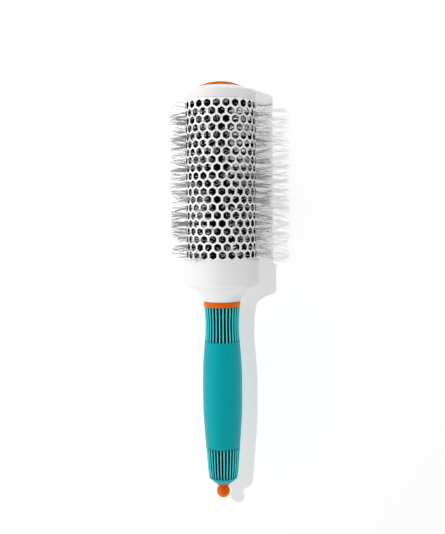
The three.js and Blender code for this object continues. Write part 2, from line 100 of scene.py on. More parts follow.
class Nodes:
    """A tree of shader nodes, of a material or of the world."""

    def __init__(self, tree: bpy.types.NodeTree) -> None:
        """Works on that tree."""
        self.tree = tree

    def add(self, kind: str, **settings: object) -> bpy.types.Node:
        """Adds a node.

        Args:
            kind: Blender's name of the node's type, without its prefix.
            **settings: the node's own properties.

        Returns:
            The new node.
        """
        node = self.tree.nodes.new("ShaderNode" + kind)
        for name, value in settings.items():
            setattr(node, name, value)
        return node

    def join(self, source: Socket, target: Socket) -> None:
        """Links an output to an input."""
        self.tree.links.new(source, target)

    def combine(self, operation: str, first: Socket, second: Socket) -> Socket:
        """Works out a number from two others.

        Args:
            operation: Blender's name of the sum.
            first: the socket with one number.
            second: the socket with the other.

        Returns:
            The socket with the result.
        """
        node = self.add("Math", operation=operation)
        self.join(first, node.inputs[0])
        self.join(second, node.inputs[1])
        return node.outputs["Value"]

    def ramp(self, source: Socket, ends: Pair, start: float = 0.0, stop: float = 1.0) -> Socket:
        """Turns a pattern into a value that goes evenly from one end to the other.

        Args:
            source: the socket with the pattern.
            ends: the value up to the start, and the value from the stop on.
            start: where in the pattern the value starts to change.
            stop: where in the pattern it stops.

        Returns:
            The socket with the value.
        """
        node = self.add("MapRange")
        for name, value in zip(("From Min", "From Max", "To Min", "To Max"), (start, stop, *ends)):
            node.inputs[name].default_value = value
        self.join(source, node.inputs["Value"])
        return node.outputs["Result"]

    def choose(self, factor: Socket, first: Socket, second: Socket) -> Socket:
        """Chooses between two shaders.

        Args:
            factor: the socket that is 0 for the first shader and 1 for the second.
            first: the socket with a shader.
            second: the socket with the other shader.

        Returns:
            The socket with the chosen shader.
        """
        mix = self.add("MixShader")
        for source, target in zip((factor, first, second), mix.inputs):
            self.join(source, target)
        return mix.outputs["Shader"]

    def seen_directly(self) -> Socket:
        """Tells rays that see a thing directly, by gloss or through glass from the rays that light.

        Returns:
            The socket that is 1 for such a ray and 0 for others.
        """
        rays = self.add("LightPath").outputs
        seen = self.combine("MAXIMUM", rays["Is Camera Ray"], rays["Is Glossy Ray"])
        return self.combine("MAXIMUM", seen, rays["Is Transmission Ray"])


class Graph(Nodes):
    """The nodes of one material."""

    def __init__(self, name: str) -> None:
        """Starts a material of that name.

        Args:
            name: the material's name.
        """
        self.material = bpy.data.materials.new(name)
        self.material.use_nodes = True
        super().__init__(self.material.node_tree)
        self.shader = self.tree.nodes["Principled BSDF"]

    def fix(self, values: dict[str, float | tuple[float, ...]]) -> None:
        """Sets the shader's own inputs to what is the same all over."""
        for name, value in values.items():
            self.shader.inputs[name].default_value = value

    def vary(self, name: str, source: Socket) -> None:
        """Lets a pattern lead one of the shader's inputs."""
        self.join(source, self.shader.inputs[name])

    def noise(self, grain: float, detail: float = 2.0, stretch: Sequence[float] = (1, 1, 1)) -> Socket:
        """Adds a noise pattern that keeps its place on the piece.

        Args:
            grain: the size of its spots, in millimetres.
            detail: how many finer octaves it has.
            stretch: how much finer it gets along X, Y and Z.

        Returns:
            The socket with the noise, from 0 to 1.
        """
        mapping = self.add("Mapping")
        mapping.inputs["Scale"].default_value = stretch
        self.join(self.add("TexCoord").outputs["Object"], mapping.inputs["Vector"])
        noise = self.add("TexNoise")
        noise.inputs["Scale"].default_value = 1 / (grain * MM)
        noise.inputs["Detail"].default_value = detail
        self.join(mapping.outputs["Vector"], noise.inputs["Vector"])
        return noise.outputs["Fac"]

    def tint(self, factor: Socket, first: Colour | Socket, second: Colour) -> Socket:
        """Blends two colours.

        Args:
            factor: the socket that is 0 at the first colour and 1 at the second.
            first: a linear colour, or the socket with a pattern of colour.
            second: a linear colour.

        Returns:
            The socket with the colour.
        """
        mix = self.add("Mix", data_type="RGBA")
        if isinstance(first, Socket):
            self.join(first, mix.inputs["A"])
        else:
            mix.inputs["A"].default_value = (*first, 1)
        mix.inputs["B"].default_value = (*second, 1)
        self.join(factor, mix.inputs["Factor"])
        return mix.outputs["Result"]

    def kept(self, name: str) -> Socket:
        """Reads a value that a mesh keeps at its points."""
        return self.add("Attribute", attribute_name=name).outputs["Fac"]

    def bump(self, height: Socket, depth: float) -> None:
        """Raises the shader's surface with a pattern.

        Args:
            height: the socket with the pattern.
            depth: how high it rises, in millimetres.
        """
        bump = self.add("Bump")
        bump.inputs["Distance"].default_value = depth * MM
        self.join(height, bump.inputs["Height"])
        self.vary("Normal", bump.outputs["Normal"])


def scaled(colour: Colour, share: float) -> Colour:
    """Makes a colour lighter or darker."""
    return tuple(min(1.0, channel * share) for channel in colour)


def around(share: float) -> Pair:
    """Gives the two shares that lie evenly below and above the whole."""
    return 1 - share, 1 + share


@dataclass(frozen=True)
class Finish(ABC):
    """What one material looks like, as a linear colour, a roughness and the pattern of its kind."""

    name: str
    colour: Colour
    roughness: float

    @abstractmethod
    def build(self, graph: Graph) -> None:
        """Adds the nodes of this kind of finish."""

    def material(self) -> bpy.types.Material:
        """Makes the material once.

        Returns:
            The material, which all pieces of this finish share.
        """
        found = bpy.data.materials.get(self.name)
        if found:
            return found
        graph = Graph(self.name)
        graph.fix({"Roughness": self.roughness})
        self.build(graph)
        return graph.material

    def shades(self, graph: Graph, pattern: Socket, shares: Pair) -> Socket:
        """Gives the colour, made uneven from one share of it to another over a pattern."""
        first, second = (scaled(self.colour, share) for share in shares)
        return graph.tint(pattern, first, second)

    def rub(self, graph: Graph, pattern: Socket, shares: Pair) -> None:
        """Makes the roughness uneven, from one share of it to another over a pattern."""
        low, high = (self.roughness * share for share in shares)
        graph.vary("Roughness", graph.ramp(pattern, (low, high)))


@dataclass(frozen=True)
class MouldedPlastic(Finish):
    """Injection-moulded plastic with a faint mottling and the fine spark texture of its mould."""

    grain: float = 0.25
    grain_depth: float = 0.008
    mottle: float = 0.03
    mottle_size: float = 14.0
    polish: float = 0.15
    polish_size: float = 5.0
    specular: float = 0.5
    bloom: float = 0.0
    bloom_tint: Colour = (1.0, 1.0, 1.0)
    bloom_roughness: float = 0.5

    def build(self, graph: Graph) -> None:
        """Adds the nodes of moulded plastic.

        Args:
            graph: the material's nodes.
        """
        graph.vary("Base Color", self.shades(graph, graph.noise(self.mottle_size), around(self.mottle)))
        self.rub(graph, graph.noise(self.polish_size, detail=3), around(self.polish))
        graph.bump(graph.noise(self.grain), self.grain_depth)
        graph.fix(
            {
                "Specular IOR Level": self.specular,
                "Sheen Weight": self.bloom,
                "Sheen Roughness": self.bloom_roughness,
                "Sheen Tint": (*self.bloom_tint, 1),
            }
        )


@dataclass(frozen=True)
class CeramicCoat(Finish):
    """A sprayed coat with a low orange-peel and a few fine specks."""

    peel: float = 1.2
    peel_depth: float = 0.012
    speck_size: float = 0.35
    speck_edge: Pair = (0.28, 0.36)
    speck_shade: float = 0.93
    gloss: float = 0.25
    gloss_roughness: float = 0.2

    def build(self, graph: Graph) -> None:
        """Adds the nodes of a ceramic coat.

        Args:
            graph: the material's nodes.
        """
        specks = graph.add("ValToRGB")
        for index, position in enumerate(self.speck_edge):
            specks.color_ramp.elements[index].position = position
        graph.join(graph.noise(self.speck_size, detail=1), specks.inputs["Fac"])
        graph.vary("Base Color", self.shades(graph, specks.outputs["Color"], (self.speck_shade, 1.0)))
        graph.bump(graph.noise(self.peel), self.peel_depth)
        graph.fix({"Coat Weight": self.gloss, "Coat Roughness": self.gloss_roughness})


@dataclass(frozen=True)
class SoftRubber(Finish):
    """Soft-touch rubber: an even colour with a velvety rim and a fine dry grain."""

    grain: float = 0.18
    grain_depth: float = 0.012
    mottle: float = 0.04
    mottle_size: float = 9.0
    wear: float = 0.12
    wear_size: float = 3.0
    sheen: float = 0.2
    sheen_tint: Colour = (1.0, 1.0, 1.0)
    sheen_roughness: float = 0.45
    specular: float = 0.5

    def hue(self, graph: Graph) -> Socket:
        """Gives the rubber's colour, a little uneven."""
        return self.shades(graph, graph.noise(self.mottle_size, detail=3), around(self.mottle))

    def build(self, graph: Graph) -> None:
        """Adds the nodes of soft-touch rubber.

        Args:
            graph: the material's nodes.
        """
        graph.vary("Base Color", self.hue(graph))
        self.rub(graph, graph.noise(self.wear_size, detail=4), around(self.wear))
        graph.bump(graph.noise(self.grain, detail=3), self.grain_depth)
        graph.fix(
            {
                "Sheen Weight": self.sheen,
                "Sheen Roughness": self.sheen_roughness,
                "Sheen Tint": (*self.sheen_tint, 1),
                "Specular IOR Level": self.specular,
            }
        )


@dataclass(frozen=True)
class GroovedRubber(SoftRubber):
    """Soft-touch rubber with a painted highlight on its ribs and painted black shade down in its grooves."""

    # The colours of the painted highlight on the ribs and the painted shade in the grooves.
    rib_highlight_colour: Colour = (0.07, 0.73, 0.77)
    groove_shade_colour: Colour = (0.0, 0.003, 0.004)

    def hue(self, graph: Graph) -> Socket:
        """Gives the rubber's colour on its plain part, with a painted highlight on the ribs and painted shade
        down in the grooves.
        """
        ribs = graph.tint(graph.kept(RIB_HIGHLIGHT_SHARE), super().hue(graph), self.rib_highlight_colour)
        return graph.tint(graph.kept(GROOVE_SHADE_SHARE), ribs, self.groove_shade_colour)


@dataclass(frozen=True)
class NylonFilament(Finish):
    """Drawn nylon, a little clearer in places along its length, with painted shade darkening it towards its
    root.
    """

    clarity: float = 0.25
    refraction: float = 1.53
    # How dark the painted shade at the root makes the nylon, as a share of its colour.
    painted_root_shade: float = 0.01
    specular: float = 0.12
    streak: float = 0.3
    streak_size: float = 2.5
    grain: float = 0.6
    grain_depth: float = 0.01

    def build(self, graph: Graph) -> None:
        """Adds the nodes of drawn nylon.

        Args:
            graph: the material's nodes.
        """
        streak = self.shades(graph, graph.noise(self.streak_size), around(self.streak))
        # Painted shade: near black where the barrel shades the filaments.
        root = scaled(self.colour, self.painted_root_shade)
        graph.vary("Base Color", graph.tint(graph.kept(ROOT_SHADE_MASK), streak, root))
        graph.bump(graph.noise(self.grain), self.grain_depth)
        graph.fix(
            {
                "Transmission Weight": self.clarity,
                "Specular IOR Level": self.specular,
                "IOR": self.refraction,
            }
        )


@dataclass(frozen=True)
class DrawnMetal(Finish):
    """Metal with fine lines drawn along the axis and a few duller patches."""

    line: float = 0.12
    line_depth: float = 0.004
    line_stretch: tuple[float, float, float] = (1.0, 0.02, 1.0)
    line_shares: Pair = (0.85, 1.1)
    patch_size: float = 2.0
    patch_shares: Pair = (0.7, 1.4)

    def build(self, graph: Graph) -> None:
        """Adds the nodes of drawn metal.

        Args:
            graph: the material's nodes.
        """
        lines = graph.noise(self.line, stretch=self.line_stretch)
        graph.vary("Base Color", self.shades(graph, lines, self.line_shares))
        self.rub(graph, graph.noise(self.patch_size, detail=3), self.patch_shares)
        graph.bump(lines, self.line_depth)
        graph.fix({"Metallic": 1.0})


WHITE_PLASTIC = MouldedPlastic(
    "white_moulded_plastic", (0.74, 0.74, 0.745), 0.38, mottle=0.015, specular=0.35
)
ORANGE_PLASTIC = MouldedPlastic(
    "orange_moulded_plastic",
    (0.72, 0.1, 0.001),
    0.3,
    mottle=0.05,
    specular=0.12,
    bloom=0.6,
    bloom_tint=(1.0, 0.7, 0.05),
)
ORANGE_DISC_PLASTIC = MouldedPlastic(
    "satin_orange_plastic", (0.54, 0.115, 0.006), 0.55, mottle=0.05, specular=0.0
)
BLACK_PLASTIC = MouldedPlastic("black_moulded_plastic", (0.012, 0.013, 0.014), 0.55)
BARREL_COAT = CeramicCoat("white_ceramic_coat", (0.87, 0.87, 0.875), 0.42)
# Painted shade: the tube's inside is made near black.
BARREL_INSIDE_SHADE = MouldedPlastic("painted_shade_barrel_inside", (0.002, 0.002, 0.002), 0.8, specular=0.0)
TEAL_RUBBER = GroovedRubber(
    "teal_soft_rubber", (0.001, 0.32, 0.357), 0.42, sheen=0.35, sheen_tint=(0.6, 1.0, 1.0), specular=0.03
)
BLACK_RUBBER = SoftRubber("black_ring_rubber", (0.015, 0.015, 0.016), 0.6, sheen=0.1)
NYLON = NylonFilament("grey_nylon_filament", (0.5, 0.5, 0.52), 0.3)
# Painted shade: the dense nylon roots inside the barrel are made near black.
SHADED_ROOTS = NylonFilament("painted_shade_root_bundle", (0.006, 0.006, 0.007), 0.7, clarity=0.0, specular=0.02)
WIRE_STEEL = DrawnMetal("twisted_wire_steel", (0.52, 0.52, 0.54), 0.35)
BRASS = DrawnMetal("ferrule_brass", (0.66, 0.45, 0.16), 0.3)
SHAFT_METAL = DrawnMetal("brushed_shaft_aluminium", (0.72, 0.73, 0.75), 0.28)


@dataclass(frozen=True)
class Corner:
    """A corner of a turned outline: its radius, its station and how far it is rounded."""

    radius: float
    station: float
    rounding: float = 0.0


def rounded(corners: Sequence[Corner], closed: bool = True, steps: int = 5) -> Outline:
    """Draws an outline with its corners rounded.

    Args:
        corners: the corners in order.
        closed: whether the last corner joins the first.
        steps: how many parts a rounded corner is divided into.

    Returns:
        The outline's points, each a radius and a station.
    """
    outline: Outline = []
    count = len(corners)
    for index, corner in enumerate(corners):
        here = np.array((corner.radius, corner.station))
        if corner.rounding == 0 or (not closed and index in (0, count - 1)):
            outline.append((corner.radius, corner.station))
            continue
        sides = []
        for other in (corners[index - 1], corners[(index + 1) % count]):
            side = np.array((other.radius, other.station)) - here
            sides.append(side / np.linalg.norm(side))
        half = math.acos(np.clip(np.dot(*sides), -1, 1)) / 2
        setback = corner.rounding / math.tan(half)
        inward = (sides[0] + sides[1]) / np.linalg.norm(sides[0] + sides[1])
        centre = here + inward * corner.rounding / math.sin(half)
        start, end = (here + side * setback - centre for side in sides)
        sweep = math.pi - 2 * half
        turn = 1 if start[0] * end[1] - start[1] * end[0] > 0 else -1
        for step in range(steps + 1):
            angle = turn * sweep * step / steps
            cosine, sine = math.cos(angle), math.sin(angle)
            spot = centre + (start[0] * cosine - start[1] * sine, start[0] * sine + start[1] * cosine)
            outline.append((float(spot[0]), float(spot[1])))
    return outline


def smooth_curve(knots: Sequence[tuple[float, float]], places: Sequence[float]) -> np.ndarray:
    """Draws a smooth line through knots that doesn't overshoot them.

    Args:
        knots: pairs of a place and a value, in rising order of place.
        places: where the line is wanted.

    Returns:
        The line's value at each place.
    """
    x, y = (np.array(column, float) for column in zip(*knots))
    step = np.diff(x)
    slope = np.diff(y) / step
    lean = np.zeros(len(x))
    both = slope[:-1] * slope[1:] > 0
    first, second = 2 * step[1:] + step[:-1], step[1:] + 2 * step[:-1]
    with np.errstate(divide="ignore", invalid="ignore"):
        blend = (first + second) / (first / slope[:-1] + second / slope[1:])
    lean[1:-1] = np.where(both, blend, 0)
    lean[0], lean[-1] = slope[0], slope[-1]
    at = np.clip(np.asarray(places, float), x[0], x[-1])
    span = np.clip(np.searchsorted(x, at, side="right") - 1, 0, len(step) - 1)
    share = (at - x[span]) / step[span]
    rest = 1 - share
    return (
        (1 + 2 * share) * rest**2 * y[span]
        + share * rest**2 * step[span] * lean[span]
        + share**2 * (3 - 2 * share) * y[span + 1]
        - share**2 * rest * step[span] * lean[span + 1]
    )


def spots(radius: np.ndarray, angle: np.ndarray, station: np.ndarray) -> np.ndarray:
    """Turns radii, angles and stations into points in the frame.

    Args:
        radius: distances from the axis, in millimetres.
        angle: angles from straight up, in radians.
        station: stations along the axis, in millimetres.

    Returns:
        The points, in metres, along a new last axis.
    """
    radius, angle, station = np.broadcast_arrays(radius, angle, station)
    across = radius * np.sin(angle)
    height = AXIS_HEIGHT + radius * np.cos(angle)
    return np.stack((across, station + STATION_SHIFT, height), axis=-1) * MM


def keep_values(mesh: bpy.types.Mesh, name: str, values: np.ndarray) -> None:
    """Keeps a value at each point of a mesh."""
    mesh.attributes.new(name, "FLOAT", "POINT").data.foreach_set("value", values.ravel().astype(np.float32))


def put(name: str, data: bpy.types.ID) -> bpy.types.Object:
    """Puts a new object into the scene.

    Args:
        name: the object's name.
        data: its mesh, lamp or camera.

    Returns:
        The object.
    """
    thing = bpy.data.objects.new(name, data)
    bpy.context.scene.collection.objects.link(thing)
    return thing


def make_piece(
    name: str,
    points: np.ndarray,
    faces: np.ndarray,
    crease: float = 40,
    values: dict[str, np.ndarray] | None = None,
) -> bpy.types.Object:
    """Makes a smooth-shaded mesh object whose faces all turn outward.

    Args:
        name: the piece's name.
        points: its points, in metres. Points in one place are joined.
        faces: its faces, as rows of indices of its points.
        crease: the angle from which an edge stays sharp, in degrees.
        values: the values that it keeps at its points, by name.

    Returns:
        The new object.
    """
    mesh = bpy.data.meshes.new(name)
    mesh.from_pydata(points.reshape(-1, 3).tolist(), [], faces.tolist())
    for value_name, value in (values or {}).items():
        keep_values(mesh, value_name, value)
    work = bmesh.new()
    work.from_mesh(mesh)
    bmesh.ops.remove_doubles(work, verts=work.verts, dist=WELD_REACH)
    bmesh.ops.recalc_face_normals(work, faces=work.faces)
    work.to_mesh(mesh)
    work.free()
    mesh.shade_smooth()
    mesh.set_sharp_from_angle(angle=math.radians(crease))
    return put(name, mesh)


def grid_faces(ring_count: int, side_count: int, loop: bool) -> np.ndarray:
    """Lists the quads between rings of points that each close on themselves.

    Args:
        ring_count: how many rings there are.
        side_count: how many points a ring has.
        loop: whether the last ring joins the first.

    Returns:
        The faces, as rows of four indices.
    """
    ring = np.arange(ring_count if loop else ring_count - 1)[:, None]
    side = np.arange(side_count)[None, :]
    next_ring, next_side = (ring + 1) % ring_count, (side + 1) % side_count
    quads = (
        ring * side_count + side,
        ring * side_count + next_side,
        next_ring * side_count + next_side,
        next_ring * side_count + side,
    )
    return np.stack([np.broadcast_to(q, (len(ring), side_count)) for q in quads], axis=-1).reshape(-1, 4)


def turned(name: str, outline: Outline, closed: bool = True, side_count: int = 128) -> bpy.types.Object:
    """Turns an outline round the axis.

    Args:
        name: the piece's name.
        outline: points of a radius and a station. An open outline starts and ends on the axis.
        closed: whether the outline's end joins its start.
        side_count: how many sides the turned piece has.

    Returns:
        The new piece.
    """
    radius, station = (np.array(column)[:, None] for column in zip(*outline))
    angle = (np.arange(side_count) * FULL_TURN / side_count)[None, :]
    return make_piece(name, spots(radius, angle, station), grid_faces(len(outline), side_count, closed))


def settle(piece: bpy.types.Object, body: Body, slot: Slot, finish: Finish, *nodes: str) -> None:
    """Dresses a piece, lets it ride on its body and hides the CAD nodes that it stands for.

    Args:
        piece: the piece, in its place.
        body: the body that it moves with.
        slot: the material slot of its finish; it is not used.
        finish: what it looks like.
        *nodes: the CAD nodes that it stands for.
    """
    if not piece.data.materials:
        piece.data.materials.append(finish.material())
    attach(piece, body.value)
    if nodes:
        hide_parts(*nodes)
    log.info("%s: %d faces on %s, %s", piece.name, len(piece.data.polygons), body.value, finish.name)


def carry_over(node: str, finish: Finish) -> None:
    """Gives a CAD node that stays a better finish.

    Args:
        node: the node's name.
        finish: what it looks like.
    """
    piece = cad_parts[node]
    piece.data.materials.clear()
    piece.data.materials.append(finish.material())
    log.info("%s: CAD node kept, %s", node, finish.name)


@dataclass
class Barrel:
    """The vented tube: a honeycomb of six-sided vents punched through a coated sheet.

    The rounded edges of a vent, vent_edge outside and vent_back inside, are pairs of how much wider
    than the vent a ring is on each side and how far it lies from the tube's skin.
    """

    radius: float = 23.3
    wall: float = 1.2
    row_count: int = 20
    column_count: int = 24
    row_pitch: float = 5.058
    first_row: float = 48.05
    vent_width: float = 4.5
    pattern_turn: float = 1.6
    top: float = 55.5
    bottom: float = -56.6
    top_seam: float = 51.6
    bottom_seam: float = -52.2
    lap_depth: float = 0.4
    side_steps: int = 4
    corner_share: float = 0.97
    coat_reach: float = 0.22
    vent_edge: tuple[Pair, ...] = ((0.4, 0.0), (0.16, 0.0), (0.05, 0.05), (0.0, 0.18))
    vent_back: tuple[Pair, ...] = ((0.0, 0.1), (0.08, 0.0))
    lap_slope: float = 0.1
    outer_chamfer: float = 0.2
    inner_chamfer: float = 0.3

    def row_station(self, row: int) -> float:
        """Gives the station of a row of vents, counted from the head."""
        return self.first_row - row * self.row_pitch

    def vent_angle(self, row: int, column: float) -> float:
        """Gives the angle of a vent's middle, in radians."""
        shift = 0.5 if row % 2 == 0 else 0.0
        return (column + shift) * FULL_TURN / self.column_count + math.radians(self.pattern_turn)

    def hexagon(self, width: float, height: float, corner_share: float = 1.0) -> np.ndarray:
        """Draws a six-sided ring with a corner up.

        Args:
            width: its size across the axis.
            height: its size along the axis.
            corner_share: how far out its corners stay, where 1 is sharp.

        Returns:
            Its points, each a distance across and a distance along.
        """
        corners = np.array(
            [(0, 1), (1, 0.5), (1, -0.5), (0, -1), (-1, -0.5), (-1, 0.5)], float
        ) * (width / 2, height / 2)
        points = []
        for here, after in zip(corners, np.roll(corners, -1, axis=0)):
            for step in range(self.side_steps):
                share = step / self.side_steps
                points.append((here * (1 - share) + after * share) * (corner_share if step == 0 else 1))
        return np.array(points)

    def vent_rings(self) -> list[tuple[np.ndarray, float]]:
        """Draws the rings of one cell, from its outer border through the vent to its inner border.

        Returns:
            Pairs of a ring and its radius. The vent's edges are rounded like the coat on them.
        """
        cell = self.hexagon(self.radius * FULL_TURN / self.column_count, self.row_pitch * 4 / 3)
        inner = self.radius - self.wall

        def vent(more: float) -> np.ndarray:
            """Draws the vent's ring, wider by some millimetres on each side."""
            width = self.vent_width + 2 * more
            return self.hexagon(width, width * 2 / math.sqrt(3), self.corner_share)

        return [
            (cell, self.radius),
            *((vent(more), self.radius - depth) for more, depth in self.vent_edge),
            *((vent(more), inner + height) for more, height in self.vent_back),
            (cell, inner),
        ]

    def cells(self) -> tuple[np.ndarray, np.ndarray]:
        """Builds all vents with the webs between them.

        Returns:
            The points and the faces.
        """
        rings = self.vent_rings()
        side_count = 6 * self.side_steps
        across = np.stack([ring[:, 0] for ring, _ in rings])
        along = np.stack([ring[:, 1] for ring, _ in rings])
        radius = np.array([r for _, r in rings])[:, None]
        pattern = grid_faces(len(rings), side_count, False)
        points, faces = [], []
        for row in range(self.row_count):
            for column in range(self.column_count):
                start = len(points) * len(rings) * side_count
                angle = self.vent_angle(row, column) + across / self.radius
                points.append(spots(radius, angle, along + self.row_station(row)).reshape(-1, 3))
                faces.append(pattern + start)
        return np.concatenate(points), np.concatenate(faces)

    def plain_end(self, row: int, side: int, seam: float, end: float) -> np.ndarray:
        """Draws the rings of a plain end of the tube, from the vents' border on one skin to the other.

        Args:
            row: the row of vents next to it.
            side: 1 towards the head, -1 towards the handle.
            seam: the station where the tube gets thinner, under the piece that holds it.
            end: the station of the tube's rim.

        Returns:
            The rings' points.
        """
        border = self.hexagon(FULL_TURN / self.column_count, self.row_pitch * 4 / 3)
        edge = border[border[:, 1] * side >= self.row_pitch / 3 - TINY]
        edge = edge[np.argsort(edge[:, 0])][:-1]
        middles = [self.vent_angle(row, column) for column in range(self.column_count)]
        angle = np.concatenate([middle + edge[:, 0] for middle in middles])
        zigzag = self.row_station(row) + np.tile(edge[:, 1], self.column_count)
        outer, inner = self.radius, self.radius - self.wall
        tucked = outer - self.lap_depth
        outline = (
            (outer, zigzag),
            (outer, seam - side * self.lap_slope),
            (tucked, seam),
            (tucked, end - side * self.outer_chamfer),
            (tucked - self.outer_chamfer, end),
            (inner + self.inner_chamfer, end),
            (inner, end - side * self.inner_chamfer),
            (inner, zigzag),
        )
        return np.stack([spots(radius, angle, station) for radius, station in outline])

    def build(self) -> None:
        """Builds the tube and dresses its outside, and its inside with painted black shade."""
        points, faces = self.cells()
        ends = (
            (0, 1, self.top_seam, self.top),
            (self.row_count - 1, -1, self.bottom_seam, self.bottom),
        )
        for end in ends:
            rings = self.plain_end(*end)
            quads = grid_faces(*rings.shape[:2], loop=False) + len(points)
            points = np.concatenate((points, rings.reshape(-1, 3)))
            faces = np.concatenate((faces, quads))
        tube = make_piece("barrel_vented_tube", points, faces, crease=50)
        for finish in (BARREL_COAT, BARREL_INSIDE_SHADE):
            tube.data.materials.append(finish.material())
        tube.data.polygons.foreach_set("material_index", self.inside_faces(tube))
        settle(tube, Body.BRUSH, Slot.BARREL, BARREL_COAT, "barrel_tube")

    def inside_faces(self, tube: bpy.types.Object) -> np.ndarray:
        """Finds the faces that the coat doesn't reach, which get painted black shade: the inner skin and the
        vents' walls below their edges.

        Args:
            tube: the finished tube.

        Returns:
            A 1 for each such face and a 0 for each other face.
        """
        centres = np.empty(3 * len(tube.data.polygons))
        tube.data.polygons.foreach_get("center", centres)
        across, _, height = centres.reshape(-1, 3).T / MM
        distance = np.hypot(across, height - AXIS_HEIGHT)
        return (distance < self.radius - self.coat_reach).astype(np.int32)


@dataclass
class WireStem:
    """Two steel wires twisted round each other, which clamp the roots of the bristles."""

    strand_radius: float = 1.03
    twist_pitch: float = 7.5
    top: float = 60.9
    bottom: float = -87.25
    side_count: int = 10
    ring_step: float = 0.5

    def strand(self, start_angle: float) -> np.ndarray:
        """Draws one wire of the pair.

        Args:
            start_angle: where it lies at the bottom, in radians.

        Returns:
            Its rings of points, the first and the last of them drawn together to close its ends.
        """
        lead = FULL_TURN / self.twist_pitch
        turn = np.arange(self.side_count) * FULL_TURN / self.side_count
        rings = []
        for station in np.arange(self.bottom, self.top, self.ring_step):
            angle = start_angle + (station - self.bottom) * lead
            centre = spots(self.strand_radius, angle, station)
            outward = Vector((math.sin(angle), 0, math.cos(angle)))
            sideways = Vector((math.cos(angle), 0, -math.sin(angle)))
            along = (Vector((0, 1, 0)) + sideways * self.strand_radius * lead).normalized()
            square = outward.cross(along)
            ring = np.outer(np.cos(turn), outward) + np.outer(np.sin(turn), square)
            rings.append(centre + ring * self.strand_radius * MM)
        foot, head = (np.repeat(ring.mean(0)[None], self.side_count, 0) for ring in (rings[0], rings[-1]))
        return np.array([foot, *rings, head])

    def build(self) -> None:
        """Builds the twisted pair."""
        strands = [self.strand(0.0), self.strand(math.pi)]
        faces = grid_faces(len(strands[0]), self.side_count, loop=False)
        count = len(strands[0]) * self.side_count
        points = np.concatenate([strand.reshape(-1, 3) for strand in strands])
        wire = make_piece("twisted_wire_stem", points, np.concatenate((faces, faces + count)))
        settle(wire, Body.BRUSH, Slot.WIRE, WIRE_STEEL, "core_wire")


